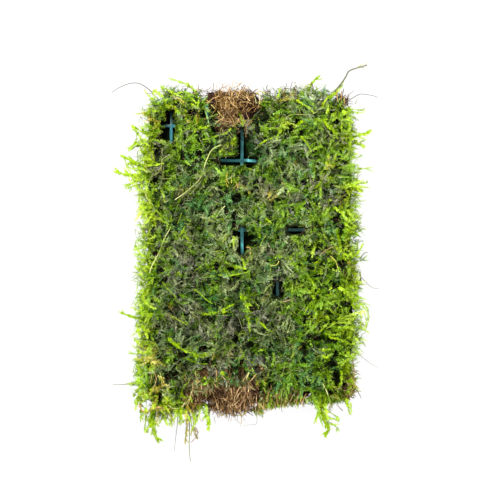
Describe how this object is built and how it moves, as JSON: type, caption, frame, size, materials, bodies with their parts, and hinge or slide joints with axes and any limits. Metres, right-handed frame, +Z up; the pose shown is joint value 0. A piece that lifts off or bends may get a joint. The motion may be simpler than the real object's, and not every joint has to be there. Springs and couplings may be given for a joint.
{
  "type": "moss pad",
  "caption": "Rectangular pad of aquarium moss grown through a plastic net over a mat of brown stems, flat underneath, with loose shoots at its edges.",
  "frame": {"origin": "middle of the flat underside that the pad rests on", "axes": "+Y along the pad, towards the edge with the brown stems in its middle; +X across it, to the right when seen from above; +Z up, out of the moss"},
  "size_m": [0.1072, 0.1596, 0.0213],
  "materials": {
    "moss_green": "matte",
    "young_moss": "satin",
    "old_stems": "matte",
    "dry_stems": "matte",
    "net_plastic": "satin"
  },
  "bodies": {
    "root": {"bare_stem_1": "dry_stems", "bare_stem_2": "dry_stems", "bottom_shoot_1": "young_moss", "bottom_shoot_2": "young_moss", "bottom_shoot_3": "young_moss", "bottom_shoot_4": "young_moss", "bottom_shoot_5": "young_moss", "bottom_shoot_6": "young_moss", "bottom_shoot_7": "young_moss", "bottom_shoot_8": "young_moss", "brown_stem_mat": "old_stems", "hanging_shoot": "young_moss", "hanging_side_shoot_1": "young_moss", "hanging_side_shoot_2": "young_moss", "hanging_side_shoot_3": "young_moss", "left_shoot_1": "young_moss", "left_shoot_2": "young_moss", "left_shoot_3": "young_moss", "left_shoot_4": "young_moss", "left_shoot_5": "young_moss", "left_shoot_6": "young_moss", "left_shoot_7": "young_moss", "moss_cushion": "moss_green", "plastic_net": "net_plastic", "right_shoot_1": "young_moss", "right_shoot_2": "young_moss", "right_shoot_3": "young_moss", "right_shoot_4": "young_moss", "right_shoot_5": "young_moss", "right_shoot_6": "young_moss", "right_shoot_7": "young_moss", "right_shoot_8": "young_moss", "right_shoot_9": "young_moss", "thread_bottom_1": "old_stems", "thread_bottom_2": "old_stems", "thread_left": "old_stems", "thread_right_1": "old_stems", "thread_right_2": "old_stems", "thread_right_3": "old_stems", "thread_top_left": "old_stems", "thread_top_right": "old_stems", "top_runner_1": "young_moss", "top_runner_2": "young_moss", "top_runner_3": "young_moss", "top_runner_4": "young_moss", "top_runner_5": "young_moss", "top_shoot_1": "young_moss", "top_shoot_2": "young_moss"}
  },
  "joints": []
}
